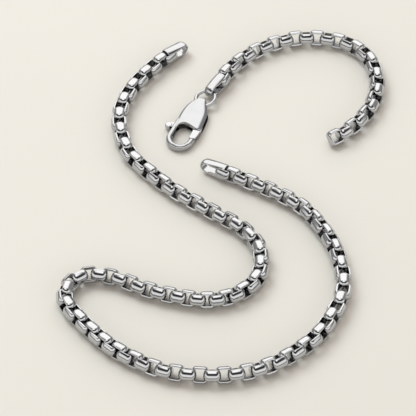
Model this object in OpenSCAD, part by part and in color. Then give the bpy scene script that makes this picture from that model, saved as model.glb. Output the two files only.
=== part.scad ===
// Box chain in two lengths, lying on a surface, with end caps, a jump ring and a lobster clasp.
// Millimetres, +Z up. The surface is Z = 0 and the origin lies under the middle of the whole.

/* [Links] */
// Width and height of a link across the chain
link_w = 5; // [4.8:0.1:5.2]
// Length of a link along the chain
link_l = 5; // [4.9:0.05:5.1]
// Thickness of the strip that a link is bent from
strip_t = 0.52; // [0.45:0.01:0.56]
// Width of that strip
strip_w = 2.6; // [2.3:0.05:2.7]
// Radius of a link's outer corners
link_r = 1.4; // [1.2:0.05:1.6]
// Play between the ends of neighbouring links when the chain is pulled out
link_play = 0.41; // [0.3:0.01:0.5]
// Gap between the ends of every second link when the chain is pushed together
end_gap = 0.12; // [0.1:0.01:0.2]

/* [End caps] */
// Length of the two caps of the long length, from the chain's side to the nose
cap_l = 8.2; // [8:0.05:9]
// Length of the cap that holds the jump ring
ring_cap_l = 8.1; // [7.9:0.05:8.6]
// Width of a cap's band beside the chain
cap_w = 3.1; // [2.9:0.05:3.2]
// Width of a cap's band at its nose
nose_w = 2; // [1.6:0.05:2.4]
// Radius of a cap's nose seen from the side
nose_r = 2; // [1.9:0.05:2.15]
// Thickness of a cap's band
cap_t = 0.65; // [0.55:0.01:0.7]
// Radius of the post that holds the last link in its cap
post_r = 0.55; // [0.45:0.01:0.6]
// Clearance round the post and at the long length's cap mouths
cap_gap = 0.16; // [0.14:0.01:0.2]
// Clearance at the mouth of the cap that holds the jump ring
ring_mouth_gap = 0.75; // [0.5:0.05:1]

/* [Jump ring] */
// Inside diameter of the jump ring
ring_bore = 4.7; // [4.5:0.05:5]
// Diameter of the jump ring's wire
ring_wire = 1.2; // [1:0.05:1.25]
// Clearance between the ring's wire and what it passes through
ring_gap = 0.15; // [0.12:0.01:0.18]
// Tilt of the ring from the surface towards its cap
ring_tilt = 7.5; // [6:0.5:9]

/* [Clasp] */
// Direction that the clasp's tail points, from +X towards +Y
clasp_turn = 73; // [71:0.5:75]
// Length of the clasp's body from its front edge to the tip of its tail
body_l = 12.6; // [12.3:0.1:13]
// Width of the clasp's body
body_w = 8.9; // [8.6:0.1:9.2]
// Thickness of the clasp's body at its middle
body_h = 3; // [2.9:0.05:3.2]
// Radius of the body's domed top across the clasp
dome_r = 16; // [14:0.5:18]
// Thickness of the body's lower plate
floor_t = 0.65; // [0.6:0.01:0.75]
// Height of the space between the body's plates
cavity_h = 1.35; // [1.3:0.01:1.45]
// Radius of the hook, to the middle of its wire
hook_r = 3.35; // [3.25:0.05:3.45]
// Width of the hook's wire
hook_w = 1.8; // [1.6:0.05:1.9]
// Height of the hook's wire
hook_h = 2.4; // [2.2:0.05:2.5]
// Length of the end wall behind the tail's slot
tail_wall = 1.3; // [1.2:0.05:1.5]
// Length of the tail's slot
slot_l = 2.4; // [2.3:0.05:2.6]

/* [Lever] */
// Thickness of the lever
lever_t = 1.15; // [1.05:0.01:1.2]
// Height of the gate in front of the body
gate_h = 2.1; // [1.8:0.05:2.2]
// Radius of the thumb knob
knob_r = 1.1; // [1:0.05:1.2]
// Height of the thumb knob
knob_h = 1.6; // [1.4:0.05:1.7]
// Radius of the pivot pin
pin_r = 0.45; // [0.4:0.01:0.5]
// Radial clearance of the pin in its holes
pin_gap = 0.05; // [0.04:0.01:0.08]
// Gap between the gate and the hook's tip
gate_gap = 0.2; // [0.15:0.01:0.25]

/* [Hidden] */
$fn = 48;
steel = [0.82, 0.82, 0.83];
bright_steel = [0.9, 0.9, 0.91];
// Turn of a link from the one before
quarter = 90;
// Straight steps between two points of a route
curve_steps = 8;
// Length that clears every solid in a cut
through = 30;

// Centres and distances of the links
half = link_w / 2;
taut_pitch = link_l - 2 * strip_t - link_play;
loose_pitch = (link_l + end_gap) / 2;

// The long length's middle line: x and y of chosen points on the surface
long_route = [
    [-17.8, 58.5], [-22.3, 53.5], [-28.3, 45], [-31.8, 35.5], [-31.8, 26.5], [-28.8, 17], [-22.8, 9.5],
    [-16.3, 3], [-9.3, -2.5], [-1.8, -8], [3.2, -11.5], [6.7, -15.5], [9.2, -20], [9.7, -25.5],
    [8.7, -31], [5.2, -35.5], [0.2, -38.5], [-6.8, -39.5], [-15.3, -38], [-23.3, -35.5], [-30.3, -32],
    [-34.5, -30.7], [-39, -30.1], [-43.1, -31.8], [-45.6, -35.5], [-45.7, -40.1], [-43, -44.7],
    [-37.8, -51], [-32.3, -56.5], [-25.8, -61], [-17.3, -65], [-6.8, -66.5], [2.7, -66], [11.7, -63],
    [19.2, -58], [25.7, -51.5], [30.7, -42.5], [32.7, -36], [32.7, -29], [30.7, -19.5], [26.7, -11],
    [21.7, -4], [14.2, 1.5], [6.2, 6], [-1.6, 10.2]
];
// The short length's middle line, from its cap to its open end
short_route = [
    [-1.3, 48.2], [0.8, 52], [7.2, 59], [15.5, 64.1], [25.2, 66.5], [35.2, 65], [40.9, 61.3],
    [44.7, 55.5], [46, 45.5], [43.2, 35.5], [37.2, 27.5], [31, 22.8]
];
// How far the long length is pulled out: share of its run, pull from 0 loose to 1 taut
long_pull = [
    [0, 0.92], [0.03, 0.9], [0.06, 0.7], [0.09, 0.6], [0.12, 0.72], [0.15, 0.6], [0.185, 0.46],
    [0.22, 0.57], [0.25, 0.4], [0.27, 0.26], [0.3, 0.3], [0.34, 0.26], [0.36, 0.18], [0.38, 0.14],
    [0.4, 0.28], [0.42, 0.46], [0.45, 0.54], [0.48, 0.46], [0.51, 0.44], [0.535, 0.4], [0.56, 0.1],
    [0.585, 0.05], [0.61, 0.41], [0.64, 0.87], [0.67, 0.77], [0.7, 0.58], [0.72, 0.48], [0.75, 0.62],
    [0.78, 0.78], [0.81, 0.82], [0.84, 0.74], [0.87, 0.62], [0.9, 0.43], [0.92, 0.38], [0.95, 0.48],
    [0.98, 0.36], [1, 0.25]
];
// The same for the short length
short_pull = [[0, 0.64], [0.15, 0.86], [0.36, 0.84], [0.4, 0.76], [0.48, 0.78], [0.58, 0.84], [1, 0.84]];
// How the long length is rolled about its middle line: share of its run, degrees to the left
long_roll = [
    [0, -8], [0.07, -6], [0.1, 0], [0.14, 13], [0.2, 40], [0.25, 52], [0.3, 70], [0.33, 71],
    [0.36, 56], [0.39, 46], [0.44, 42], [0.465, 38], [0.49, 30], [0.52, 20], [0.545, 15],
    [0.57, 14], [0.6, 31], [0.63, 46], [0.67, 48], [0.7, 44], [0.74, 31], [0.77, 17], [0.8, 2],
    [0.83, -8], [0.86, -24], [0.9, -37], [0.93, -45], [0.955, -47], [0.975, -36], [1, -20]
];
// The same for the short length
short_roll = [
    [0, -73], [0.06, -62], [0.14, -54], [0.3, -53], [0.42, -61], [0.5, -66], [0.58, -70], [0.68, -67],
    [0.85, -45], [1, -40]
];

// Smooth curve through a route's points
function bend(a, b, c, d, t) =
    0.5 * (2 * b + (c - a) * t + (2 * a - 5 * b + 4 * c - d) * t * t + (3 * b - a - 3 * c + d) * t * t * t);
function with_ends(p) = concat([2 * p[0] - p[1]], p, [2 * p[len(p) - 1] - p[len(p) - 2]]);
function smooth(p) =
    let (q = with_ends(p))
    concat(
        [for (i = [1:len(q) - 3], j = [0:curve_steps - 1])
            bend(q[i - 1], q[i], q[i + 1], q[i + 2], j / curve_steps)],
        [p[len(p) - 1]]
    );
// Distance along a curve at each of its points
function distances(p) =
    [for (i = 0, s = 0; i < len(p); i = i + 1, s = i < len(p) ? s + norm(p[i] - p[i - 1]) : s) s];

// A run is [table of x by distance, table of y by distance, whole length]
function run_of(route) =
    let (p = smooth(route), s = distances(p), last = len(p) - 1)
    [[for (i = [0:last]) [s[i], p[i].x]], [for (i = [0:last]) [s[i], p[i].y]], s[last]];
function spot(run, s) = [lookup(s, run[0]), lookup(s, run[1]), half];
function turn(run, s) =
    let (step = spot(run, s + link_l / 2) - spot(run, s - link_l / 2))
    atan2(step.y, step.x);
function pitch(share, pull) = loose_pitch + (taut_pitch - loose_pitch) * lookup(share, pull);
// Distance of each link along its run
function stations(run, pull) = [for (s = 0; s <= run[2]; s = s + pitch(s / run[2], pull)) s];

long_run = run_of(long_route);
short_run = run_of(short_route);
long_stations = stations(long_run, long_pull);
short_stations = stations(short_run, short_pull);
long_last = len(long_stations) - 1;

// Roll of a link's strip: every second link is a quarter turn on
function strip_roll(k, s, run, roll, first) = lookup(s / run[2], roll) + ((k + first) % 2) * quarter;

// Places a shape on the surface: x along the chain, z turned to the left by the roll
module along(at, heading, roll) {
    translate(at) rotate([0, 0, heading]) rotate([-roll, 0, 0]) children();
}

module rounded_box(l, h, r) {
    square([l, h - 2 * r], center = true);
    square([l - 2 * r, h], center = true);
    for (x = [-1, 1], y = [-1, 1]) translate([x * (l / 2 - r), y * (h / 2 - r)]) circle(r);
}

// One link: a strip bent to a rounded box, with a round crown and round ends
module link() {
    intersection() {
        rotate([90, 0, 0]) linear_extrude(strip_w, center = true) difference() {
            rounded_box(link_l, link_w, link_r);
            rounded_box(link_l - 2 * strip_t, link_w - 2 * strip_t, link_r - strip_t);
        }
        rotate([0, 90, 0]) cylinder(h = 2 * link_l, r = half, center = true);
        cylinder(h = 2 * link_w, r = link_l / 2, center = true);
    }
}

module links(run, stops, roll, first) {
    for (k = [0:len(stops) - 1]) {
        along(spot(run, stops[k]), turn(run, stops[k]), strip_roll(k, stops[k], run, roll, first)) link();
    }
}

module main_chain() color(steel) links(long_run, long_stations, long_roll, 1);
module clasp_chain() color(steel) links(short_run, short_stations, short_roll, 0);

// A cap stands round its last link, whose centre is the cap's origin. Its mouth lies behind the
// origin, clear of the next link's rounded end.
corner_in = link_r - sqrt(pow(link_r, 2) - pow(link_r - cap_t, 2));
function mouth(next_pitch, gap) = link_l / 2 - corner_in + gap - next_pitch;
post_x = link_l / 2 - strip_t - post_r - cap_gap;

// Side view of the cap's band, or of the space inside it: straight sides that meet a round nose
module cap_side(back, nose, inset) {
    r = nose_r - inset;
    centre = nose - nose_r;
    run = centre - back;
    lean = asin(nose_r / norm([run, half])) - atan2(half, run);
    touch = [centre - r * sin(lean), r * cos(lean)];
    start = half - inset / cos(lean);
    translate([centre, 0]) circle(r);
    polygon([[back, start], touch, [centre, 0], [touch.x, -touch.y], [back, -start]]);
}

module cap(length, back) {
    nose = back + length;
    intersection() {
        union() {
            rotate([90, 0, 0]) linear_extrude(cap_w, center = true) difference() {
                cap_side(back, nose, 0);
                cap_side(back, nose, cap_t);
            }
            translate([post_x, 0]) cylinder(h = link_w - cap_t, r = post_r, center = true);
        }
        linear_extrude(2 * link_w, center = true) polygon([
            [back, -cap_w / 2], [nose - nose_r, -(cap_w + nose_w) / 4], [nose, -nose_w / 2],
            [nose, nose_w / 2], [nose - nose_r, (cap_w + nose_w) / 4], [back, cap_w / 2]
        ]);
        rotate([0, 90, 0]) cylinder(h = 4 * length, r = half, center = true);
    }
}

// First and last pitch of a length, which set where a cap's mouth lies
function gap_after(stops, k) = stops[k + 1] - stops[k];

// How far a cap has swung and rolled on its last link: degrees to the left
outer_swing = -6;
outer_roll = -4;
inner_roll = 6;
ring_swing = -8;
ring_roll = 5;

module outer_cap() color(bright_steel)
    along(spot(long_run, 0), turn(long_run, 0) + 180 + outer_swing, -lookup(0, long_roll) + outer_roll)
        cap(cap_l, mouth(gap_after(long_stations, 0), cap_gap + cap_w / 2 * abs(sin(outer_swing))));

module inner_cap() color(bright_steel)
    along(spot(long_run, long_stations[long_last]), turn(long_run, long_stations[long_last]),
        strip_roll(long_last, long_stations[long_last], long_run, long_roll, 1) - quarter + inner_roll)
        cap(cap_l, mouth(gap_after(long_stations, long_last - 1), cap_gap));

ring_cap_turn = turn(short_run, 0) + 180 + ring_swing;
ring_cap_back = mouth(gap_after(short_stations, 0), ring_mouth_gap);
module ring_cap() color(bright_steel)
    along(spot(short_run, 0), ring_cap_turn, -lookup(0, short_roll) - quarter + ring_roll)
        cap(ring_cap_l, ring_cap_back);

// The ring's wire lies against the inside of its cap's nose and of the clasp's tail
ring_r = (ring_bore + ring_wire) / 2;
ring_out = ring_cap_back + ring_cap_l - cap_t - ring_gap + sqrt(pow(ring_bore / 2, 2) - pow(0.65 * nose_w, 2));
// How far the ring's wire lies below the middle of its cap, and the ring's roll to the right
ring_low = 0.1;
ring_lean = 5;
ring_drop = ring_r * sin(ring_tilt);
ring_at = spot(short_run, 0) + ring_out * [cos(ring_cap_turn), sin(ring_cap_turn), 0]
    - [0, 0, ring_low + ring_drop];

// The ring, or the room that it needs with a clearance round its wire
module ring(clearance) {
    translate(ring_at) rotate([0, 0, ring_cap_turn]) rotate([ring_lean, 0, 0]) rotate([0, ring_tilt, 0])
        rotate_extrude() translate([ring_r, 0]) circle(ring_wire / 2 + clearance);
}

module jump_ring() color(bright_steel) ring(0);

// The clasp's own frame: x towards the tail from the body's front edge, y to the left
ring_seat = body_l - tail_wall - ring_gap - ring_wire / 2;
seat_y = -0.65;
seat_z = half - ring_low - 2 * ring_drop;
module in_clasp() {
    translate([ring_at.x, ring_at.y, 0]) rotate([0, 0, clasp_turn])
        translate([-ring_seat - ring_r, -seat_y, 0]) children();
}

// Hook: centre of its round end, and where its straight stretches leave the round
hook_at = [-4.55, 1.75];
spine_lean = -6;
spine_l = 7;
tip_lean = -10;
tip_l = 2.3;
hook_start = 90 + spine_lean;
hook_end = 270 + tip_lean;

// A straight stretch starts inside the round end, and is a little slimmer there and all along
seam = 0.1;
seam_inset = 0.01;

module wire_section(inset) {
    square([hook_w - 2 * inset, hook_h - hook_w], center = true);
    for (side = [-1, 1]) translate([0, side * (hook_h - hook_w) / 2]) circle(hook_w / 2 - inset);
}

function on_hook(angle) = hook_at + hook_r * [cos(angle), sin(angle)];

// Straight stretch of the hook's wire that leaves its round end at an angle
module straight_wire(angle, heading, length) {
    translate([on_hook(angle).x, on_hook(angle).y, hook_h / 2])
        rotate([0, 0, heading]) translate([-seam, 0, 0]) rotate([90, 0, 90])
            linear_extrude(length + seam) wire_section(seam_inset);
}

// Lever: its pivot, its boss and arm, how far its gate reaches from the pivot, and how deep the pin
// reaches into each plate
pivot = [3.2, -1];
boss_r = 1.5;
arm_w = 1.8;
gate_reach = 7.2;
pin_in = 0.4;
knob_at = [-0.1, 0.625 * body_w + knob_r + 0.1];
lever_mid = floor_t + cavity_h / 2;

module hook() {
    translate([hook_at.x, hook_at.y, hook_h / 2]) rotate([0, 0, hook_start])
        rotate_extrude(angle = hook_end - hook_start) translate([hook_r, 0]) wire_section(0);
    straight_wire(hook_start, spine_lean, spine_l);
    difference() {
        straight_wire(hook_end, tip_lean, tip_l);
        translate(pivot) cylinder(h = through, r = gate_reach + gate_gap, center = true);
    }
}

// Outline of the body from above, as shares of its length and width: the front edge from left to
// right, the right side to the tail and the left side back to the front
front_edge = [
    [-0.1, 0.62], [-0.077, 0.472], [0.046, 0.382], [0.085, 0.27], [0.077, 0.135], [0.031, -0.034],
    [0, -0.169], [-0.008, -0.27], [0.023, -0.385]
];
right_side = [
    [0.25, -0.41], [0.48, -0.405], [0.62, -0.365], [0.73, -0.3], [0.8, -0.255], [0.86, -0.22],
    [0.92, -0.19], [0.97, -0.155], [1, -0.1]
];
left_side = [
    [1, 0.06], [0.97, 0.13], [0.92, 0.2], [0.86, 0.28], [0.8, 0.365], [0.73, 0.435], [0.62, 0.49],
    [0.48, 0.53], [0.25, 0.565], [0.03, 0.6]
];
// Middle of the dome and room between the plates, as it is seen from above
dome_y = 0.9;
cavity_plan = [[-1.4, 7], [5, 7], [5, 4], [7, 3], [7, -4.5], [-1.4, -4.5]];
floor_corner = [[-1.2, -1], [0.2, -1.6], [1.4, -4.5], [-1.2, -4.5]];

module body_outline() {
    polygon([for (p = concat(smooth(front_edge), smooth(right_side), smooth(left_side)))
        [p.x * body_l, p.y * body_w]]);
}

module pin(r, clearance) {
    translate([pivot.x, pivot.y, lever_mid])
        cylinder(h = cavity_h + 2 * (pin_in + clearance), r = r + clearance, center = true);
}

module clasp_body() color(steel) difference() {
    in_clasp() difference() {
        union() {
            intersection() {
                linear_extrude(body_h) body_outline();
                translate([0, dome_y, body_h - dome_r]) rotate([0, 90, 0])
                    cylinder(h = 2 * through, r = dome_r, center = true);
            }
            hook();
        }
        translate([0, 0, floor_t]) linear_extrude(cavity_h) polygon(cavity_plan);
        translate([0, 0, -floor_t]) linear_extrude(2 * floor_t) polygon(floor_corner);
        translate([body_l - tail_wall - slot_l / 2, 0, seat_z])
            cube([slot_l, through, ring_wire + 2 * ring_gap], center = true);
        pin(pin_r, pin_gap);
    }
    ring(ring_gap);
}

// Outline of the gate, which its reach cuts off at the hook's tip
gate_front = -0.35;
gate_plan = [
    [-4.5, -0.85], [-4.2, -2.5], [-2.5, -3], [-0.2, -3.4], [1.5, -3.4], [3.2, -2.5], [3.2, -1],
    [1.5, -0.5], [0, -1], [-1.2, -1], [-2.6, -0.9]
];
module gate_outline() {
    intersection() {
        polygon(gate_plan);
        translate(pivot) circle(gate_reach);
    }
}

module clasp_lever() color(bright_steel) in_clasp() difference() {
    union() {
        translate([0, 0, lever_mid]) linear_extrude(lever_t, center = true) {
            translate(pivot) circle(boss_r);
            gate_outline();
            translate(pivot) rotate(atan2(knob_at.y - pivot.y, knob_at.x - pivot.x))
                translate([0, -arm_w / 2]) square([norm(knob_at - pivot), arm_w]);
        }
        translate([0, 0, lever_mid]) linear_extrude(gate_h, center = true) intersection() {
            gate_outline();
            translate([gate_front - through, -through / 2]) square([through, through]);
        }
        translate([knob_at.x, knob_at.y, lever_mid]) cylinder(h = knob_h, r = knob_r, center = true);
    }
    pin(pin_r, pin_gap);
}

module clasp_pin() color(bright_steel) in_clasp() pin(pin_r, 0);

main_chain();
clasp_chain();
outer_cap();
inner_cap();
ring_cap();
jump_ring();
clasp_body();
clasp_lever();
clasp_pin();
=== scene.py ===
"""Box chain in two lengths, with end caps, jump ring and lobster clasp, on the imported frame."""

import math
from contextlib import contextmanager

import bmesh
import bpy
import numpy as np
from mathutils import Matrix, Vector


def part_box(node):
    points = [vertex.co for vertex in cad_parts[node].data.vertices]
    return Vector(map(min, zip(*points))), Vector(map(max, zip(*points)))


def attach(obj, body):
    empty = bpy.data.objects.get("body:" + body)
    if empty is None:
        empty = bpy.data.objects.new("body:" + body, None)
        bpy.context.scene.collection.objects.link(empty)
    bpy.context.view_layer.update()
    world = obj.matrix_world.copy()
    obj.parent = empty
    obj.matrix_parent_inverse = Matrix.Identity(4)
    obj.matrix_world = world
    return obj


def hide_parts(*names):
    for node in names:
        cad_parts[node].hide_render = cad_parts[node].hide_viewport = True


bl_info = {
    "name": "Box chain",
    "version": (1, 0, 0),
    "blender": (4, 5, 0),
    "location": "View3D > Sidebar > Box chain",
    "description": "Dresses a box chain, its end caps, jump ring and lobster clasp",
    "category": "Object",
}

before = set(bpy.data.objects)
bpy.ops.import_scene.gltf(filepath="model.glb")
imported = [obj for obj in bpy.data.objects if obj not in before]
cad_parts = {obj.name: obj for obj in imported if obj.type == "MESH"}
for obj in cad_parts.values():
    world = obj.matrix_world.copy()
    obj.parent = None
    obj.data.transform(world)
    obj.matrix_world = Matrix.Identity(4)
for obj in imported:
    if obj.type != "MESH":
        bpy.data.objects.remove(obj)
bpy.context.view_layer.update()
BODY = "chain_and_clasp"
LEVER = "lever"
# Pieces are modelled in millimetres and placed in metres
MM = 0.001
PLACE = Matrix.Scale(MM, 4)
# Faces that meet at less than this are shaded as one surface
SMOOTH = math.radians(38)


def length(default, name, description):
    return bpy.props.FloatProperty(
        name=name, description=description, default=default, min=0.0, precision=5,
        unit="LENGTH", subtype="DISTANCE",
    )


def turn(degrees, name, description):
    return bpy.props.FloatProperty(
        name=name, description=description, default=math.radians(degrees),
        unit="ROTATION", subtype="ANGLE",
    )


def share(default, name, description):
    return bpy.props.FloatProperty(
        name=name, description=description, default=default, min=0.0, max=1.0, subtype="FACTOR",
    )


def strength(default, name, description):
    return bpy.props.FloatProperty(name=name, description=description, default=default, min=0.0)


def colour(default, name, description):
    return bpy.props.FloatVectorProperty(
        name=name, description=description, default=default, min=0.0, max=1.0,
        size=3, subtype="COLOR",
    )


class LinkSizes(bpy.types.PropertyGroup):
    side: length(0.005, "Side", "Length and height of a link")
    strip_width: length(0.00295, "Strip width", "Width of the strip that a link is bent from")
    strip_thickness: length(0.00052, "Strip thickness", "Thickness of that strip")
    corner: length(0.0014, "Corner", "Radius of a link's outer corners")
    crown: length(0.0025, "Crown", "Radius of the strip's round back")
    end_crown: length(0.0024, "End crown", "The same radius at the link's ends")
    lip: length(0.0015, "Lip", "Distance of the strip's inner lips from the link's middle")
    edge: length(0.00011, "Edge", "Rounding of the strip's edges")


class CapSizes(bpy.types.PropertyGroup):
    band_width: length(0.0037, "Band width", "Width of a cap's band beside the chain")
    nose_width: length(0.0025, "Nose width", "Width of the band at its nose")
    nose_radius: length(0.002, "Nose radius", "Radius of the nose seen from the side")
    bow: share(0.22, "Bow", "How much the plates fall off towards the mouth and the nose")
    thickness: length(0.00065, "Thickness", "Thickness of the band")
    edge: length(0.00016, "Edge", "Rounding of the band's edges")
    post_radius: length(0.00055, "Post radius", "Radius of the post that holds the last link")
    outer_swing: turn(-6, "Outer swing", "Swing of the outer cap on its link")
    ring_swing: turn(-8, "Ring swing", "Swing of the ring's cap on its link")
    outer_roll: turn(4, "Outer roll", "Roll of the outer cap about the chain")
    inner_roll: turn(-14, "Inner roll", "Roll of the inner cap about the chain")
    ring_roll: turn(-12, "Ring roll", "Roll of the ring's cap about the chain")


class RingSizes(bpy.types.PropertyGroup):
    radius: length(0.00295, "Radius", "Radius of the jump ring to the middle of its wire")
    wire: length(0.0012, "Wire", "Diameter of the jump ring's wire")


class ClaspSizes(bpy.types.PropertyGroup):
    heading: turn(73, "Heading", "Direction that the tail points")
    body_length: length(0.0126, "Body length", "Length of the body from its front edge to its tail")
    body_width: length(0.0089, "Body width", "Width of the body")
    body_height: length(0.003, "Body height", "Thickness of the body at its middle")
    dome: length(0.015, "Dome", "Radius of the domed top across the clasp")
    rim: length(0.00035, "Rim", "Rounding of the top plate's rim")
    pillow: length(0.0005, "Pillow", "How far the top plate falls off towards its sides")
    floor: length(0.00065, "Lower plate", "Thickness of the lower plate")
    room: length(0.00135, "Room", "Height of the space between the plates")
    hook_radius: length(0.00335, "Hook radius", "Radius of the hook to the middle of its wire")
    hook_width: length(0.0018, "Hook width", "Width of the hook's wire")
    hook_height: length(0.0024, "Hook height", "Height of the hook's wire")
    tail_wall: length(0.0013, "Tail wall", "Length of the end wall behind the tail's slot")
    slot_length: length(0.0024, "Slot length", "Length of the tail's slot")
    lever_thickness: length(0.00115, "Lever thickness", "Thickness of the lever")
    gate_height: length(0.0021, "Gate height", "Height of the gate in front of the body")
    knob_radius: length(0.0011, "Knob radius", "Radius of the thumb knob")
    knob_height: length(0.0016, "Knob height", "Height of the thumb knob")


class SteelLook(bpy.types.PropertyGroup):
    tint: colour((0.66, 0.668, 0.685), "Tint", "Colour of the polished steel")
    # Hollow: brightness of the painted shade on a link's inward faces
    painted_hollow_shade: share(0.2, "Hollow", "Brightness of the steel in the hollows of a link")
    # Side: strength of the painted shade on the steel's upright sides
    side: share(0.5, "Side", "How much darker the steel's upright sides are")
    roughness: share(0.05, "Roughness", "Roughness of the polished steel")
    wear: share(0.35, "Wear", "Strength of the fine scratches")


class StageLook(bpy.types.PropertyGroup):
    floor_tint: colour((0.85, 0.798, 0.728), "Floor tint", "Colour of the surface")
    sky: strength(1.46, "Sky", "Brightness of the soft light above")
    room: strength(0.3, "Room", "Brightness of the rest of the room")
    low: strength(0.75, "Low", "Brightness of the low light in front")
    key: strength(7.2, "Key", "Power of the lamp in watts")


# Finishes other than the links': tint, roughness and brightness of the painted shade in the hollows
FINISHES = {
    "bright_cap_steel": ((0.62, 0.625, 0.64), 0.1, 0),
    "bright_ring_steel": ((0.66, 0.665, 0.68), 0.07, 0),
    "clasp_steel": ((0.6, 0.605, 0.62), 0.1, 0.03),
    "bright_lever_steel": ((0.66, 0.665, 0.68), 0.07, 0.03),
    "bright_pin_steel": ((0.66, 0.665, 0.68), 0.07, 0),
}

# Outline of the clasp's body from above, as shares of its length and width: listed points
FRONT_EDGE = (
    (-0.1, 0.62), (-0.077, 0.472), (0.046, 0.382), (0.085, 0.27), (0.077, 0.135), (0.031, -0.034),
    (0, -0.169), (-0.008, -0.27), (0.023, -0.385),
)
RIGHT_SIDE = (
    (0.25, -0.41), (0.48, -0.405), (0.62, -0.365), (0.73, -0.3), (0.8, -0.255), (0.86, -0.22),
    (0.92, -0.19), (0.97, -0.155), (1, -0.1),
)
LEFT_SIDE = (
    (1, 0.06), (0.98, 0.14), (0.94, 0.215), (0.88, 0.3), (0.81, 0.38), (0.73, 0.44), (0.62, 0.49),
    (0.48, 0.53), (0.25, 0.565), (0.03, 0.6),
)
# Middle of the dome, and the rows that the body's top is cut to, in millimetres
DOME_Y = 0.9
ROWS = (
    (Vector((0, 1, 0)), np.arange(-3.6, 5.5, 0.25)),
    (Vector((1, 0, 0)), np.arange(0.6, 12.4, 0.6)),
)
# Gap between a cap's post and the end of its link
POST_GAP = 0.16
# Share of the top's half width from which it falls off to its sides
PILLOW_START = 0.55
# Room between the plates, and the corner that is open below the gate
ROOM_PLAN = ((-1.4, 7), (5, 7), (5, 4), (7, 3), (7, -4.5), (-1.4, -4.5))
FLOOR_CORNER = ((-1.2, -1), (0.2, -1.6), (1.4, -4.5), (-1.2, -4.5))
# Faces painted dark as shade: along the room between the plates, and under the front edge beside
# the spine
PAINTED_SHADE_ROOM = (-1.41, 7.05)
PAINTED_SHADE_EDGE = ((-4, 0.5), (2.5, 4.9), 1.9)
# How far the ring's wire drops in the slot, and its clearances there
WIRE_DROP = 0.385
SLOT_PLAY = 0.3
WIRE_PLAY = 0.15
# Lever: its pivot, its gate from above, and the gate's reach, gap and front part
PIVOT = Vector((3.2, -1, 1.325))
GATE_PLAN = (
    (-4.5, -0.85), (-4.2, -2.5), (-2.5, -3), (-0.2, -3.4), (1.5, -3.4), (3.2, -2.5), (3.2, -1),
    (1.5, -0.5), (0, -1), (-1.2, -1), (-2.6, -0.9),
)
GATE_REACH = 7.2
GATE_GAP = 0.2
GATE_FRONT = -0.35
GATE_ROUND = 0.7
# Radius of the boss, half the width of the arm, and where the arm's first bar ends
BOSS = 1.5
ARM = 0.9
ARM_JOINT = 6.2
# Knob: its place along the clasp, its side as a share of the body's width, its gap and its rounding
KNOB_X = -0.1
KNOB_SIDE = 0.625
KNOB_GAP = 0.1
KNOB_ROUND = 0.3
# Hook: middle of its round end, degrees where its straight stretches start, and their lengths
HOOK_AT = Vector((-4.55, 1.75, 1.2))
HOOK_START = 84
HOOK_END = 260
SPINE = 7
TIP = 2.3
# Half the size of a tool that clears the whole clasp
FAR = 20

# Camera and lamp
CAMERA_ELEVATION = math.radians(48)
CAMERA_TARGET = Vector((-0.0055, -0.0024, 0))
CAMERA_DISTANCE = 0.7321
LENS = 216.35
KEY_AT = Vector((-0.55, 0.55, 0.95))
KEY_SIZE = 0.7


def in_mm(*sizes):
    return [size / MM for size in sizes]


def only(thing):
    """Selects one object and makes it the active one."""
    bpy.ops.object.select_all(action="DESELECT")
    thing.select_set(True)
    bpy.context.view_layer.objects.active = thing
    return thing


@contextmanager
def editing(thing):
    """Edit mode on one object, with the whole of it selected."""
    only(thing)
    bpy.ops.object.mode_set(mode="EDIT")
    bpy.ops.mesh.select_mode(type="VERT")
    bpy.ops.mesh.select_all(action="SELECT")
    yield
    bpy.ops.object.mode_set(mode="OBJECT")


def pick(thing, kind, test):
    """Selects the vertices, edges or faces that pass a test, and tells how many there are."""
    bpy.ops.mesh.select_mode(type=kind)
    bpy.ops.mesh.select_all(action="DESELECT")
    mesh = bmesh.from_edit_mesh(thing.data)
    items = {"VERT": mesh.verts, "EDGE": mesh.edges, "FACE": mesh.faces}[kind]
    found = [item for item in items if test(item)]
    for item in found:
        item.select_set(True)
    bmesh.update_edit_mesh(thing.data)
    return len(found)


def move(offset):
    bpy.ops.transform.translate(value=offset)


def pull(offset):
    """Extrudes the selected region."""
    bpy.ops.mesh.extrude_region_move(TRANSFORM_OT_translate={"value": offset})


def squeeze(factors, centre=(0, 0, 0)):
    bpy.ops.transform.resize(value=factors, center_override=centre)


def mark_painted_shade(thing, test):
    """Marks the faces of a hollow, which the steel paints darker as shade."""
    painted_shade_mask = thing.data.attributes.new("painted_hollow_shade", "FLOAT", "FACE")
    for face, value in zip(thing.data.polygons, painted_shade_mask.data):
        value.value = float(test(face))


def face_outwards():
    """Merges doubles and turns every face outwards."""
    bpy.ops.mesh.select_mode(type="VERT")
    bpy.ops.mesh.select_all(action="SELECT")
    bpy.ops.mesh.remove_doubles(threshold=0.0005)
    bpy.ops.mesh.normals_make_consistent(inside=False)


def sharp(edge, degrees):
    return len(edge.link_faces) == 2 and edge.calc_face_angle(0) > math.radians(degrees)


def apply(thing, kind, **settings):
    """Adds a modifier with its settings and applies it."""
    only(thing)
    modifier = thing.modifiers.new(kind.lower(), kind)
    for name, value in settings.items():
        setattr(modifier, name, value)
    bpy.ops.object.modifier_apply(modifier=modifier.name)


def cut(thing, tool, operation="DIFFERENCE", keep=False):
    """Cuts an object with another one and deletes the tool, unless it is kept for a next cut."""
    apply(thing, "BOOLEAN", object=tool, operation=operation, solver="EXACT")
    if not keep:
        bpy.data.objects.remove(tool)


def round_edges(thing, width, segments, degrees):
    apply(
        thing, "BEVEL", width=width, segments=segments, limit_method="ANGLE",
        angle_limit=math.radians(degrees), use_clamp_overlap=True,
    )


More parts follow.
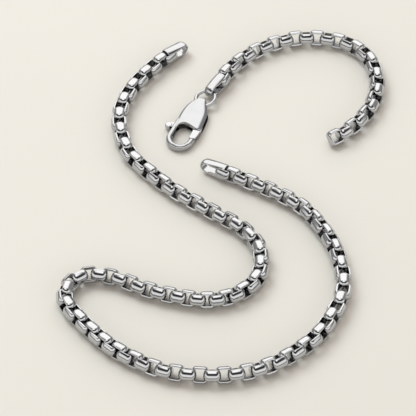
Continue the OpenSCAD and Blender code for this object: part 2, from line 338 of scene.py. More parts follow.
def smooth_curve(points, steps=8):
    """Smooth curve through points, with its ends mirrored outwards."""
    p = [Vector(point) for point in points]
    q = [2 * p[0] - p[1], *p, 2 * p[-1] - p[-2]]
    curve = []
    for a, b, c, d in zip(q, q[1:], q[2:], q[3:]):
        for t in (step / steps for step in range(steps)):
            point = 2 * b + (c - a) * t + (2 * a - 5 * b + 4 * c - d) * t**2
            curve.append(0.5 * (point + (3 * b - a - 3 * c + d) * t**3))
    return [*curve, p[-1]]


def prism(name, outline, low, high):
    """Upright solid over an outline of points, from one height to another."""
    bpy.ops.object.select_all(action="DESELECT")
    bpy.ops.mesh.primitive_circle_add(
        vertices=len(outline), radius=1, fill_type="NGON", location=(0, 0, 0)
    )
    solid = bpy.context.object
    solid.name = name
    for vertex, (x, y) in zip(solid.data.vertices, outline):
        vertex.co = (x, y, low)
    with editing(solid):
        pull((0, 0, high - low))
        face_outwards()
    return solid


def cylinder(name, radius, low, high, centre, sides=64):
    bpy.ops.object.select_all(action="DESELECT")
    bpy.ops.mesh.primitive_cylinder_add(
        vertices=sides, radius=radius, depth=high - low,
        location=(centre[0], centre[1], (low + high) / 2),
    )
    solid = only(bpy.context.object)
    solid.name = name
    bpy.ops.object.transform_apply(location=True, rotation=True, scale=True)
    return solid


def join(things):
    bpy.ops.object.select_all(action="DESELECT")
    for thing in things:
        thing.select_set(True)
    bpy.context.view_layer.objects.active = things[0]
    bpy.ops.object.join()
    return bpy.context.object


def place(thing, matrix, name, body, nodes, finish):
    """Puts a finished piece at its place in the frame and says what it stands for."""
    only(thing)
    bpy.ops.object.transform_apply(location=True, rotation=True, scale=True)
    bpy.ops.object.shade_smooth_by_angle(angle=SMOOTH)
    thing.data.transform(matrix)
    thing.name = name
    thing.data.name = name
    thing.data.materials.append(material_for(finish))
    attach(thing, body)
    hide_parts(*nodes)
    return thing


def lying(at, heading, roll):
    """Place on the surface: x along the heading, z rolled to the left."""
    return (
        Matrix.Translation(at) @ Matrix.Rotation(heading, 4, "Z") @ Matrix.Rotation(-roll, 4, "X")
    )


def shape_of(faces):
    """Centre, narrowest axis and flattest side of a closed solid, weighed by its faces' areas."""
    area = np.array([face.calc_area() for face in faces])
    at = np.array([face.calc_center_median() for face in faces])
    normal = np.array([face.normal for face in faces])
    centre = area @ at / area.sum()
    spread = at - centre
    axes = np.linalg.eigh((spread * area[:, None]).T @ spread)[1]
    across = axes[:, 0]
    flat = area * (abs(normal @ across) < 0.01)
    return Vector(centre), Vector(across), Vector(normal[flat.argmax()])


def shapes_of(node):
    """The shape of each loose solid of a CAD node, from a merged copy of its mesh."""
    shapes = []
    mesh = bmesh.new()
    mesh.from_mesh(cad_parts[node].data)
    bmesh.ops.remove_doubles(mesh, verts=mesh.verts, dist=1e-7)
    left = set(mesh.faces)
    while left:
        stack = [left.pop()]
        solid = []
        while stack:
            face = stack.pop()
            solid.append(face)
            for edge in face.edges:
                for other in edge.link_faces:
                    if other in left:
                        left.remove(other)
                        stack.append(other)
        shapes.append(shape_of(solid))
    mesh.free()
    return shapes


def links_of(node, first):
    """Centre, heading and width axis of each link of a CAD chain, from the end beside a node."""
    low, high = (Vector(corner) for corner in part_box(first))
    here = (low + high) / 2
    left = shapes_of(node)
    order = []
    while left:
        nearest = min(left, key=lambda link: (link[0] - here).length)
        left.remove(nearest)
        order.append(nearest)
        here = nearest[0]
    links = []
    for k, (centre, across, side) in enumerate(order):
        step = (order[min(k + 1, len(order) - 1)][0] - order[max(k - 1, 0)][0]).normalized()
        heading = max((side, across.cross(side)), key=lambda axis: abs(axis.dot(step)))
        links.append((centre, heading * math.copysign(1, heading.dot(step)), across))
    return links


def axes_matrix(at, x, z):
    y = z.cross(x)
    turned = Matrix((x, y, z)).transposed().to_4x4()
    return Matrix.Translation(at) @ turned @ PLACE


def heading_of(axis):
    return math.atan2(axis.y, axis.x)


def reach(node, at, axis):
    """How far a CAD node reaches back and forward along an axis from a point."""
    along = [(vertex.co - at).dot(axis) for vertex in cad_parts[node].data.vertices]
    return min(along), max(along)


class Socket:
    """A shader value that Python's operators work on: each adds a Math node."""

    def __init__(self, shader, socket):
        self.shader = shader
        self.socket = socket

    def maths(self, operation, *values):
        return self.shader.node("ShaderNodeMath", {"operation": operation}, dict(enumerate(values)))

    def __add__(self, other):
        return self.maths("ADD", self, other)

    def __sub__(self, other):
        return self.maths("SUBTRACT", self, other)

    def __mul__(self, other):
        return self.maths("MULTIPLY", self, other)

    def __radd__(self, other):
        return self.maths("ADD", other, self)

    def __rsub__(self, other):
        return self.maths("SUBTRACT", other, self)

    def __rmul__(self, other):
        return self.maths("MULTIPLY", other, self)

    def above(self, low, high):
        """0 below low, 1 above high and a smooth rise between them."""
        return self.shader.node(
            "ShaderNodeMapRange", {"interpolation_type": "SMOOTHSTEP"},
            {"Value": self, "From Min": low, "From Max": high, "To Min": 0, "To Max": 1},
        )


class Shader:
    """Builds a node tree with one method for every kind of node."""

    def __init__(self, owner):
        owner.use_nodes = True
        self.tree = owner.node_tree
        self.tree.nodes.clear()

    def node(self, kind, settings=None, sockets=None, output=0):
        node = self.tree.nodes.new(kind)
        for name, value in (settings or {}).items():
            setattr(node, name, value)
        for name, value in (sockets or {}).items():
            if isinstance(value, Socket):
                self.tree.links.new(value.socket, node.inputs[name])
            else:
                node.inputs[name].default_value = value
        return Socket(self, node.outputs[output]) if node.outputs else node

    def place_on_object(self):
        return self.node("ShaderNodeTexCoord", output=3)

    def noise(self, vector, scale, detail=3.0, roughness=0.5):
        return self.node(
            "ShaderNodeTexNoise", None,
            {"Vector": vector, "Scale": scale, "Detail": detail, "Roughness": roughness},
        )

    def stretched(self, vector, turned, scale):
        return self.node(
            "ShaderNodeMapping", None, {"Vector": vector, "Rotation": turned, "Scale": scale}
        )

    def blend(self, factor, first, second):
        sockets = {0: factor, 6: first, 7: second}
        return self.node("ShaderNodeMix", {"data_type": "RGBA"}, sockets, output=2)


def steel(name, tint, rough, depth):
    """Polished steel with faint clouds and scratches, painted shade on its upright sides and
    painted shade in its hollows.
    """
    look = bpy.context.scene.steel_look
    material = bpy.data.materials.new(name)
    shader = Shader(material)
    here = shader.place_on_object()
    clouds = shader.noise(here, 420, 4)
    grain = shader.noise(here, 5200, 2)
    hair = shader.noise(shader.stretched(here, (0.3, 0.2, 0.6), (900, 9000, 9000)), 1, 2)
    cross_hair = shader.noise(shader.stretched(here, (-0.5, 0.4, 2.1), (700, 8000, 8000)), 1, 2)
    scratches = hair.above(0.6, 0.72) + cross_hair.above(0.62, 0.74)
    bright = (*tint, 1)
    dull = (*(0.96 * channel for channel in tint), 1)
    base = shader.blend(clouds.above(0.35, 0.75), bright, dull)
    # Painted shade: faces that turn from straight up to upright or down blend towards a darker tint
    normal = shader.node("ShaderNodeNewGeometry", output=1)
    level = shader.node("ShaderNodeSeparateXYZ", None, {"Vector": normal}, output=2)
    red, green, blue = tint
    painted_side_shade = (0.5 * red, 0.5 * green, 0.52 * blue, 1)
    base = shader.blend(look.side * (1 - level.above(0.1, 0.75)), base, painted_side_shade)
    roughness = rough + 0.03 * clouds + look.wear * 0.1 * scratches
    # Painted shade: the marked hollow faces blend to a dark grey with clouds and get rougher
    if depth:
        painted_hollow_shade = shader.node("ShaderNodeAttribute", {"attribute_name": "painted_hollow_shade"}, output=2)
        painted_shade_mask = painted_hollow_shade * (0.8 + 0.35 * clouds)
        base = shader.blend(painted_shade_mask, base, (depth, depth, 1.03 * depth, 1))
        roughness = roughness + 0.22 * painted_shade_mask
    bump = shader.node(
        "ShaderNodeBump", None,
        {"Strength": 0.25 * look.wear, "Distance": 0.00001, "Height": grain - 0.8 * scratches},
    )
    surface = shader.node(
        "ShaderNodeBsdfPrincipled", None,
        {"Base Color": base, "Metallic": 1.0, "Roughness": roughness, "Normal": bump},
    )
    shader.node("ShaderNodeOutputMaterial", None, {"Surface": surface})
    return material


def material_for(name):
    """The material of one finish, made at its first use."""
    look = bpy.context.scene.steel_look
    if name in bpy.data.materials:
        return bpy.data.materials[name]
    if name == "link_steel":
        return steel(name, look.tint, look.roughness, look.painted_hollow_shade)
    return steel(name, *FINISHES[name])


def drop(radius, across):
    """How far a circle lies below its top at a distance from its middle."""
    return radius - math.sqrt(radius**2 - across**2)


def model_link(sizes):
    """One link: a strip bent to a rounded box, with a round back, round edges and a mask of the
    inward faces that get painted shade.
    """
    side, width, thick = in_mm(sizes.side, sizes.strip_width, sizes.strip_thickness)
    corner, crown, end_crown = in_mm(sizes.corner, sizes.crown, sizes.end_crown)
    lip, rounding = in_mm(sizes.lip, sizes.edge)
    inner = side / 2 - corner
    rows = 6

    def depth(co):
        return math.hypot(max(abs(co.x) - inner, 0), max(abs(co.y) - inner, 0))

    def outer(co):
        return depth(co) > corner - thick / 2

    def at_rim(edge):
        return sharp(edge, 28) and min(abs(v.co.z) for v in edge.verts) > width / 2 - 0.01

    def facing_in(face):
        return face.normal.x * face.center.x + face.normal.y * face.center.y < -0.5

    bpy.ops.object.select_all(action="DESELECT")
    bpy.ops.mesh.primitive_plane_add(size=side, location=(0, 0, -width / 2))
    link = only(bpy.context.object)
    bpy.ops.object.transform_apply(location=True, rotation=True, scale=True)
    with editing(link):
        bpy.ops.mesh.bevel(offset=corner, segments=6, profile=0.5, affect="VERTICES")
        bpy.ops.mesh.select_all(action="SELECT")
        bpy.ops.mesh.select_mode(type="FACE")
        bpy.ops.mesh.inset(thickness=thick)
        bpy.ops.mesh.delete(type="ONLY_FACE")
        bpy.ops.mesh.select_all(action="SELECT")
        pull((0, 0, width))
        pick(link, "EDGE", lambda e: abs(e.verts[0].co.z - e.verts[1].co.z) > width / 2)
        bpy.ops.mesh.subdivide(number_cuts=rows - 1)
        for row in range(rows + 1):
            z = width * (row / rows - 0.5)
            fall, end_fall = drop(crown, z), drop(end_crown, z)
            draw_in = (1 - lip / (side / 2 - thick)) * (2 * z / width) ** 2
            pick(link, "VERT", lambda v: abs(v.co.z - z) < 0.01 and not outer(v.co))
            squeeze((1 - 0.4 * draw_in, 1 - draw_in, 1))
            pick(link, "VERT", lambda v: abs(v.co.z - z) < 0.01 and outer(v.co))
            squeeze((1 - 2 * end_fall / side, 1 - 2 * fall / side, 1))
        face_outwards()
        pick(link, "EDGE", at_rim)
        bpy.ops.mesh.bevel(offset=rounding, segments=3, affect="EDGES", clamp_overlap=True)
    # The link's inward faces get painted shade
    mark_painted_shade(link, facing_in)
    return link


def dress_chain(node, beside, name):
    """Copies one link to every link of a CAD chain and joins the copies."""
    link = model_link(bpy.context.scene.link_sizes)
    copies = []
    for centre, heading, across in links_of(node, beside):
        copy = link.copy()
        copy.data = link.data.copy()
        copy.data.transform(axes_matrix(centre, heading, across))
        bpy.context.collection.objects.link(copy)
        copies.append(copy)
    bpy.data.objects.remove(link)
    chain = join(copies)
    return place(chain, Matrix.Identity(4), name, BODY, [node], "link_steel")


def model_cap(sizes, back, nose):
    """A cap: a band that tapers to a round nose, open at its mouth, with a post across it."""
    link = bpy.context.scene.link_sizes
    half = link.side / MM / 2
    thick, radius = in_mm(sizes.thickness, sizes.nose_radius)
    mouth, tip = in_mm(sizes.band_width / 2, sizes.nose_width / 2)
    centre = nose - radius
    lean = math.asin(radius / math.hypot(centre - back, half)) - math.atan2(half, centre - back)
    front = half + (nose - back) * math.tan(lean)

    def at_mouth(face):
        middle = face.calc_center_median()
        return middle.x < back + thick and abs(middle.y) < 0.5

    bpy.ops.object.select_all(action="DESELECT")
    bpy.ops.mesh.primitive_plane_add(size=2, location=(0, 0, 0))
    cap = only(bpy.context.object)
    with editing(cap):
        pick(cap, "VERT", lambda v: v.co.x < 0)
        squeeze((1, half, 1))
        move((back + 1, 0, 0))
        pick(cap, "VERT", lambda v: v.co.x > 0.5)
        squeeze((1, front, 1))
        move((nose - 1, 0, -mouth))
        pick(cap, "VERT", lambda v: v.co.z > -mouth / 2)
        move((0, 0, -mouth))
        pick(cap, "VERT", lambda v: v.co.x > centre)
        bpy.ops.mesh.bevel(
            offset=front, segments=14, profile=0.5, affect="VERTICES", clamp_overlap=True
        )
        bpy.ops.mesh.select_all(action="SELECT")
        bpy.ops.mesh.remove_doubles(threshold=0.01)
        bpy.ops.mesh.select_mode(type="FACE")
        bpy.ops.mesh.select_all(action="SELECT")
        bpy.ops.mesh.inset(thickness=thick)
        bpy.ops.mesh.delete(type="ONLY_FACE")
        pick(cap, "FACE", at_mouth)
        bpy.ops.mesh.delete(type="FACE")
        pick(cap, "VERT", lambda v: back + 0.01 < v.co.x < back + thick + 0.05)
        move((-thick, 0, 0))
        bpy.ops.mesh.select_all(action="SELECT")
        pull((0, 0, 2 * mouth))
        pick(cap, "EDGE", lambda e: abs(e.verts[0].co.z - e.verts[1].co.z) > mouth)
        bpy.ops.mesh.subdivide(number_cuts=9)
        for cut_at in np.linspace(back, centre, 8)[1:]:
            bpy.ops.mesh.select_all(action="SELECT")
            bpy.ops.mesh.bisect(plane_co=(cut_at, 0, 0), plane_no=(1, 0, 0), threshold=0.001)
    stations = (back, back + 0.3 * (centre - back), centre, nose)
    widths = (0.88, 1, 0.82, tip / mouth)
    for vertex in cap.data.vertices:
        x, y, z = vertex.co
        run = min(max((x - back) / (centre - back), 0), 1)
        z *= np.interp(x, stations, widths)
        on_plate = x < centre and abs(y) > half + (x - back) * math.tan(lean) - thick / 2
        on_nose = math.hypot(x - centre, y) > radius - thick / 2
        if on_plate or on_nose:
            back_round = math.sqrt(1 - (z / half) ** 2)
            y *= back_round
            if x > centre:
                x = centre + (x - centre) * (1 - 0.8 * (1 - back_round))
        y *= 1 - sizes.bow * (run - 0.4) ** 2
        vertex.co = (x, y, z)
    with editing(cap):
        face_outwards()
    round_edges(cap, sizes.edge / MM, 3, 50)
    post = cylinder("post", sizes.post_radius / MM, -half + thick, half - thick, (0, 0), 32)
    post.data.transform(Matrix.Rotation(math.pi / 2, 4, "X"))
    post_x = half - link.strip_thickness / MM - sizes.post_radius / MM - POST_GAP
    post.data.transform(Matrix.Translation((post_x, 0, 0)))
    return join([cap, post])


def dress_cap(node, link, turned, roll, name):
    """Puts a cap where the frame has it: about its link, with the node's mouth and nose."""
    centre, heading, _ = link
    at = Vector(centre)
    direction = heading_of(heading) + turned
    axis = Vector((math.cos(direction), math.sin(direction), 0))
    back, nose = (v / MM for v in reach(node, at, axis))
    cap = model_cap(bpy.context.scene.cap_sizes, back, nose)
    upright = Matrix.Rotation(math.pi / 2, 4, "X")
    matrix = lying(at, direction, roll) @ upright @ PLACE
    return place(cap, matrix, name, BODY, [node], "bright_cap_steel")


class AddMainChain(bpy.types.Operator):
    """Adds the links of the long length"""

    bl_idname = "box_chain.add_main_chain"
    bl_label = "Long length"

    def execute(self, context):
        dress_chain("main_chain", "outer_cap", "main_chain_links")
        return {"FINISHED"}


class AddClaspChain(bpy.types.Operator):
    """Adds the links of the short length that carries the clasp"""

    bl_idname = "box_chain.add_clasp_chain"
    bl_label = "Short length"

    def execute(self, context):
        dress_chain("clasp_chain", "ring_cap", "clasp_chain_links")
        return {"FINISHED"}


class AddCaps(bpy.types.Operator):
    """Adds the three end caps"""

    bl_idname = "box_chain.add_caps"
    bl_label = "End caps"

    def execute(self, context):
        sizes = context.scene.cap_sizes
        long_links = links_of("main_chain", "outer_cap")
        short_links = links_of("clasp_chain", "ring_cap")
        dress_cap(
            "outer_cap", long_links[0], math.pi + sizes.outer_swing, sizes.outer_roll,
            "outer_end_cap",
        )
        dress_cap("inner_cap", long_links[-1], 0, sizes.inner_roll, "inner_end_cap")
        dress_cap(
            "ring_cap", short_links[0], math.pi + sizes.ring_swing, sizes.ring_roll,
            "ring_end_cap",
        )
        return {"FINISHED"}


class AddJumpRing(bpy.types.Operator):
    """Adds the closed jump ring between the cap and the clasp"""

    bl_idname = "box_chain.add_jump_ring"
    bl_label = "Jump ring"

    def execute(self, context):
        ring = model_ring(context.scene.ring_sizes, 0)
        matrix = ring_place() @ PLACE
        place(
            ring, matrix, "jump_ring_wire", BODY, ["jump_ring"],
            "bright_ring_steel",
        )
        return {"FINISHED"}


def ring_place():
    """Where the frame has the jump ring: its middle, with z along its axis."""
    [(centre, across, _)] = shapes_of("jump_ring")
    side = across.orthogonal().normalized()
    y = across.cross(side)
    return Matrix.Translation(centre) @ Matrix((side, y, across)).transposed().to_4x4()


def model_ring(sizes, clearance):
    """A round wire spun about the ring's middle."""
    radius = sizes.radius / MM
    bpy.ops.object.select_all(action="DESELECT")
    bpy.ops.mesh.primitive_circle_add(
        vertices=28, radius=sizes.wire / MM / 2 + clearance, location=(0, 0, 0)
    )
    ring = only(bpy.context.object)
    with editing(ring):
        bpy.ops.transform.rotate(value=math.pi / 2, orient_axis="X", center_override=(0, 0, 0))
        move((radius, 0, 0))
        bpy.ops.mesh.spin(steps=96, angle=2 * math.pi, center=(0, 0, 0), axis=(0, 0, 1))
        face_outwards()
    return ring


def clasp_place():
    """Where the frame has the clasp: x from the body's front edge to its tail, y to its left."""
    low, high = (Vector(corner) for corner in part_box("clasp_pin"))
    pin = (low + high) / 2
    turned = Matrix.Rotation(bpy.context.scene.clasp_sizes.heading, 4, "Z")
    arm = turned @ Vector((PIVOT.x, PIVOT.y, 0)) * MM
    return Matrix.Translation((pin.x - arm.x, pin.y - arm.y, 0)) @ turned


def model_hook(sizes):
    """The hook: an oval wire spun round its end and drawn out to its spine and its tip."""
    radius, width, height = in_mm(sizes.hook_radius, sizes.hook_width, sizes.hook_height)
    sweep = math.radians(HOOK_END - HOOK_START)
    start = math.radians(HOOK_START)
    bpy.ops.object.select_all(action="DESELECT")
    bpy.ops.mesh.primitive_circle_add(vertices=32, radius=width / 2, location=(0, 0, 0))
    hook = only(bpy.context.object)
    with editing(hook):
        bpy.ops.transform.rotate(value=math.pi / 2, orient_axis="X", center_override=(0, 0, 0))
        for side in (-1, 1):
            pick(hook, "VERT", lambda v: v.co.z * side > 0.01)
            move((0, 0, side * (height - width) / 2))
    hook.data.transform(Matrix.Rotation(start, 4, "Z") @ Matrix.Translation((radius, 0, 0)))
    with editing(hook):
        bpy.ops.mesh.spin(steps=40, angle=-sweep, center=(0, 0, 0), axis=(0, 0, 1))
    hook.data.transform(Matrix.Translation(HOOK_AT))
    with editing(hook):
        for degrees, way, run in ((HOOK_START, -90, SPINE), (HOOK_END, 90, TIP)):
            angle, heading = math.radians(degrees), math.radians(degrees + way)
            at = HOOK_AT + radius * Vector((math.cos(angle), math.sin(angle), 0))
            drawn = run * Vector((math.cos(heading), math.sin(heading), 0))
            draw_out(hook, at, drawn, max(width, height))
        face_outwards()
    return hook


def draw_out(wire, at, run, size):
    """Draws an open end of a wire out by a run and closes it."""
    def open_end(middle):
        return lambda edge: len(edge.link_faces) == 1 and (edge.verts[0].co - middle).length < size

    if not pick(wire, "EDGE", open_end(at)):
        raise RuntimeError(f"the wire has no open end at {at}")
    pull(run)
    pick(wire, "EDGE", open_end(at + run))
    bpy.ops.mesh.edge_face_add()


class AddClaspBody(bpy.types.Operator):
    """Adds the clasp's body with its plates, hook and slotted tail"""

    bl_idname = "box_chain.add_clasp_body"
    bl_label = "Clasp body"

    def execute(self, context):
        sizes = context.scene.clasp_sizes
        matrix = clasp_place() @ PLACE
        body = model_body(sizes)
        hook = model_hook(sizes)
        cut_tip(hook)
        low, high = sizes.floor / MM, (sizes.floor + sizes.room) / MM
        room = prism("room", ROOM_PLAN, low, high)
        cut(hook, room, keep=True)
        cut(body, room)
        cut(body, prism("corner", FLOOR_CORNER, -1, low))
        ring = model_ring(context.scene.ring_sizes, WIRE_PLAY)
        ring.data.transform(matrix.inverted() @ ring_place() @ PLACE)
        cut(body, slot_tool(sizes, ring_place()))
        cut(body, ring)
        whole = join([body, hook])
        # Faces between the plates and under the front edge get painted shade
        mark_painted_shade(whole, lambda face: between_plates(face.center, low, high) or under_edge(face))
        place(
            whole, matrix, "clasp_body_and_hook", BODY, ["clasp_body"],
            "clasp_steel",
        )
        return {"FINISHED"}


def between_plates(at, low, high):
    return low - 0.02 < at.z < high + 0.02 and PAINTED_SHADE_ROOM[0] < at.x < PAINTED_SHADE_ROOM[1]


def under_edge(face):
    along, across, height = PAINTED_SHADE_EDGE
    at = face.center
    beside = along[0] < at.x < along[1] and across[0] < at.y < across[1]
    return beside and face.normal.y < 0.3 and at.z < height


def slot_tool(sizes, ring_at):
    """Block that cuts the tail's slot at the height of the ring's wire in it."""
    wire = bpy.context.scene.ring_sizes.wire / MM
    seat = clasp_place().inverted() @ ring_at.translation
    x = (sizes.body_length - sizes.tail_wall - sizes.slot_length / 2) / MM
    middle = seat.z / MM - WIRE_DROP
    bpy.ops.object.select_all(action="DESELECT")
    bpy.ops.mesh.primitive_cube_add(size=1, location=(x, 0, middle))
    block = only(bpy.context.object)
    block.scale = (sizes.slot_length / MM, 1.5 * FAR, wire + SLOT_PLAY)
    bpy.ops.object.transform_apply(location=True, rotation=True, scale=True)
    return block


def model_body(sizes):
    """The body's solid: its outline, a domed top and a rounded rim."""
    long, wide, high = in_mm(sizes.body_length, sizes.body_width, sizes.body_height)
    dome, rim = in_mm(sizes.dome, sizes.rim)
    outline = [
        (point.x * long, point.y * wide)
        for part in (FRONT_EDGE, RIGHT_SIDE, LEFT_SIDE)
        for point in smooth_curve(part)
    ]
    body = prism("body", outline, 0, high)
    with editing(body):
        pick(body, "EDGE", lambda e: sharp(e, 60) and min(v.co.z for v in e.verts) > high - 0.01)
        bpy.ops.mesh.bevel(offset=rim, segments=4, affect="EDGES", clamp_overlap=False)
        pick(body, "EDGE", lambda e: sharp(e, 60) and max(v.co.z for v in e.verts) < 0.01)
        bpy.ops.mesh.bevel(offset=rim / 2, segments=2, affect="EDGES", clamp_overlap=False)
        for axis, places in ROWS:
            for at in places:
                bpy.ops.mesh.select_all(action="SELECT")
                bpy.ops.mesh.bisect(plane_co=at * axis, plane_no=axis, threshold=0.0005)
    right = [(point.x * long, point.y * wide) for point in smooth_curve(RIGHT_SIDE)]
    left = [(point.x * long, point.y * wide) for point in reversed(smooth_curve(LEFT_SIDE))]
    for vertex in body.data.vertices:
        x, y, z = vertex.co
        if z > high / 2:
            low_y, high_y = (np.interp(x, *zip(*side)) for side in (right, left))
            out = abs(2 * y - low_y - high_y) / (high_y - low_y)
            fall = min(max((out - PILLOW_START) / (1 - PILLOW_START), 0), 1)
            vertex.co.z = z - drop(dome, y - DOME_Y) - sizes.pillow / MM * fall**2
    with editing(body):
        face_outwards()
    return body


def cut_tip(hook):
    """Cuts the hook's tip to the gate's reach."""
    tip_room = cylinder("tip_room", GATE_REACH + GATE_GAP, -FAR / 2, FAR / 2, PIVOT, 160)
    right_half = ((-FAR, -FAR), (FAR, -FAR), (FAR, 0), (-FAR, 0))
    cut(tip_room, prism("right_half", right_half, -FAR / 2 - 1, FAR / 2 + 1), "INTERSECT")
    cut(hook, tip_room)


class AddLever(bpy.types.Operator):
    """Adds the lever with its gate, arm and thumb knob"""

    bl_idname = "box_chain.add_lever"
    bl_label = "Lever"

    def execute(self, context):
        sizes = context.scene.clasp_sizes
        low, high = (PIVOT.z + side * sizes.lever_thickness / MM / 2 for side in (-1, 1))
        gate_low, gate_high = (PIVOT.z + side * sizes.gate_height / MM / 2 for side in (-1, 1))
        knob_r = sizes.knob_radius / MM
        knob_at = Vector((KNOB_X, KNOB_SIDE * sizes.body_width / MM + knob_r + KNOB_GAP, PIVOT.z))
        arm = prism("arm", GATE_PLAN, low, high)
        gate = prism("gate", GATE_PLAN, gate_low, gate_high)
        for part in (arm, gate):
            cut(part, cylinder("reach", GATE_REACH, -FAR / 2, FAR / 2, PIVOT, 160), "INTERSECT")
        in_front = ((-FAR, -FAR), (GATE_FRONT, -FAR), (GATE_FRONT, FAR), (-FAR, FAR))
        cut(gate, prism("in_front", in_front, -FAR / 2, FAR / 2), "INTERSECT")
        round_edges(gate, GATE_ROUND, 5, 40)
        boss = cylinder("boss", BOSS, low, high, PIVOT, 48)
        run = knob_at - PIVOT
        bars = []
        for start, end in ((0, ARM_JOINT), (ARM_JOINT, run.length)):
            bar = prism("bar", ((start, -ARM), (end, -ARM), (end, ARM), (start, ARM)), low, high)
            turned = Matrix.Rotation(heading_of(run), 4, "Z")
            bar.data.transform(Matrix.Translation((PIVOT.x, PIVOT.y, 0)) @ turned)
            bars.append(bar)
        tall = sizes.knob_height / MM / 2
        knob = cylinder("knob", knob_r, PIVOT.z - tall, PIVOT.z + tall, knob_at, 48)
        round_edges(knob, KNOB_ROUND, 4, 40)
        lever = join([gate, arm, boss, *bars, knob])
        # The lever's faces behind the gate's front, inside the room between the plates, get painted
        # shade
        mark_painted_shade(lever, lambda face: face.center.x > GATE_FRONT + 0.02 and face.center.y < 5)
        matrix = clasp_place() @ PLACE
        place(
            lever, matrix, "lever_with_gate_and_knob", LEVER, ["clasp_lever"],
            "bright_lever_steel",
        )
        return {"FINISHED"}


class FinishPin(bpy.types.Operator):
    """Gives the pivot pin of the frame its polished steel"""

    bl_idname = "box_chain.finish_pin"
    bl_label = "Pivot pin"

    def execute(self, context):
        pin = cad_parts["clasp_pin"]
        for slot in pin.material_slots:
            slot.material = material_for("bright_pin_steel")
        return {"FINISHED"}


def paint_sky(look):
    """Soft light above and behind, a grey room round it, and the dark beside the camera."""
    world = bpy.data.worlds.new("soft_studio")
    bpy.context.scene.world = world
    shader = Shader(world)
    way = shader.node("ShaderNodeTexCoord")

    def towards(*axis):
        return shader.node(
            "ShaderNodeVectorMath", {"operation": "DOT_PRODUCT"}, {0: way, 1: axis}, output=1
        )

    up = towards(0, 0, 1)
    back = towards(0, 1, 0)
    across = towards(1, 0, 0)
    aside = across.maths("ABSOLUTE", across).above(0.42, 0.62)
    front = 1 - back.above(-0.3, 0.25)
    overhead = (up.above(0.1, 0.3) * (1 - front) + up.above(0.93, 0.985) * front) * (1 - aside)
    low_panel = up.above(0.14, 0.26) * (1 - up.above(0.6, 0.7)) * front
    dark = up.above(0.66, 0.76) * (1 - up.above(0.92, 0.98)) * (1 - back.above(0.15, 0.45))
    glow = look.room + (look.sky - look.room) * overhead + look.low * low_panel
    glow = glow * (1 - 0.85 * dark) * (0.35 + 0.65 * up.above(0.02, 0.14))
    background = shader.node(
        "ShaderNodeBackground", None, {"Color": (1, 0.985, 0.96, 1), "Strength": glow}
    )
    shader.node("ShaderNodeOutputWorld", None, {"Surface": background})


def lay_surface(look):
    """The pale board that the chain lies on."""
    bpy.ops.object.select_all(action="DESELECT")
    bpy.ops.mesh.primitive_plane_add(size=4, location=(0, 0, 0))
    surface = bpy.context.object
    surface.name = "pale_surface"
    material = bpy.data.materials.new("pale_matt_board")
    shader = Shader(material)
    here = shader.place_on_object()
    clouds = shader.noise(here, 9, 3)
    grain = shader.noise(here, 1400, 3)
    tint = look.floor_tint
    base = shader.blend(clouds.above(0.3, 0.7), (*tint, 1), (*(0.985 * c for c in tint), 1))
    bump = shader.node(
        "ShaderNodeBump", None, {"Strength": 0.08, "Distance": 0.00005, "Height": grain}
    )
    board = shader.node("ShaderNodeBsdfPrincipled", None, {
        "Base Color": base, "Roughness": 0.8 + 0.1 * grain, "Specular IOR Level": 0.2,
        "Normal": bump,
    })
    shader.node("ShaderNodeOutputMaterial", None, {"Surface": board})
    surface.data.materials.append(material)


def hang_lamp(look):
    """A soft square lamp behind and to the left, which the polished steel doesn't mirror."""
    lamp = bpy.data.lights.new("key_panel", "AREA")
    lamp.shape = "RECTANGLE"
    lamp.size = KEY_SIZE
    lamp.size_y = KEY_SIZE
    lamp.energy = look.key
    lamp.color = (0.86, 0.96, 1)
    key = bpy.data.objects.new("key_panel", lamp)
    bpy.context.collection.objects.link(key)
    key.visible_glossy = False
    key.location = KEY_AT
    key.rotation_euler = (-KEY_AT).to_track_quat("-Z", "Y").to_euler()


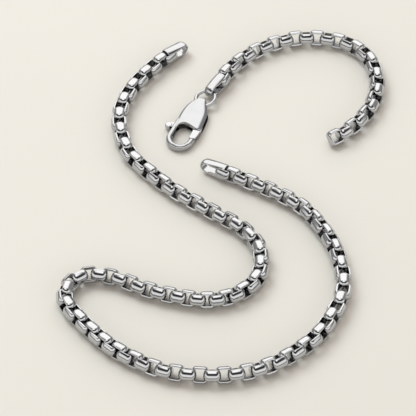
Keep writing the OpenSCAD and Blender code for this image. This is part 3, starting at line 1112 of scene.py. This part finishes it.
def set_camera(scene):
    """The photograph's camera: a long lens that looks down from the front."""
    lens = bpy.data.cameras.new("camera")
    lens.sensor_width = 36
    lens.lens = LENS
    lens.clip_start = 0.01
    lens.clip_end = 10
    camera = bpy.data.objects.new("camera", lens)
    bpy.context.collection.objects.link(camera)
    behind = Vector((0, -math.cos(CAMERA_ELEVATION), math.sin(CAMERA_ELEVATION)))
    camera.location = CAMERA_TARGET + CAMERA_DISTANCE * behind
    camera.rotation_euler = (math.pi / 2 - CAMERA_ELEVATION, 0, 0)
    scene.camera = camera
    scene.view_settings.view_transform = "Standard"


class AddStage(bpy.types.Operator):
    """Adds the pale surface, the soft light and the camera"""

    bl_idname = "box_chain.add_stage"
    bl_label = "Stage"

    def execute(self, context):
        look = context.scene.stage_look
        lay_surface(look)
        paint_sky(look)
        hang_lamp(look)
        set_camera(context.scene)
        return {"FINISHED"}


class BoxChainPanel(bpy.types.Panel):
    """Lists the sizes, the looks and the pieces of the box chain"""

    bl_idname = "VIEW3D_PT_box_chain"
    bl_label = "Box chain"
    bl_space_type = "VIEW_3D"
    bl_region_type = "UI"
    bl_category = "Box chain"

    def draw(self, context):
        for name, kind in GROUPS.items():
            box = self.layout.box()
            for value in kind.__annotations__:
                box.prop(getattr(context.scene, name), value)
        column = self.layout.column(align=True)
        for operator in OPERATORS:
            column.operator(operator.bl_idname)


OPERATORS = (
    AddMainChain, AddClaspChain, AddCaps, AddJumpRing, AddClaspBody, AddLever, FinishPin, AddStage,
)
GROUPS = {
    "link_sizes": LinkSizes,
    "cap_sizes": CapSizes,
    "ring_sizes": RingSizes,
    "clasp_sizes": ClaspSizes,
    "steel_look": SteelLook,
    "stage_look": StageLook,
}


def register():
    for kind in (*GROUPS.values(), *OPERATORS, BoxChainPanel):
        bpy.utils.register_class(kind)
    for name, kind in GROUPS.items():
        setattr(bpy.types.Scene, name, bpy.props.PointerProperty(type=kind))


def unregister():
    for name in GROUPS:
        delattr(bpy.types.Scene, name)
    for kind in (BoxChainPanel, *reversed(OPERATORS), *GROUPS.values()):
        bpy.utils.unregister_class(kind)


def main():
    """Runs every operator in order."""
    register()
    bpy.ops.box_chain.add_main_chain()
    bpy.ops.box_chain.add_clasp_chain()
    bpy.ops.box_chain.add_caps()
    bpy.ops.box_chain.add_jump_ring()
    bpy.ops.box_chain.add_clasp_body()
    bpy.ops.box_chain.add_lever()
    bpy.ops.box_chain.finish_pin()
    bpy.ops.box_chain.add_stage()


if __name__ == "__main__":
    main()
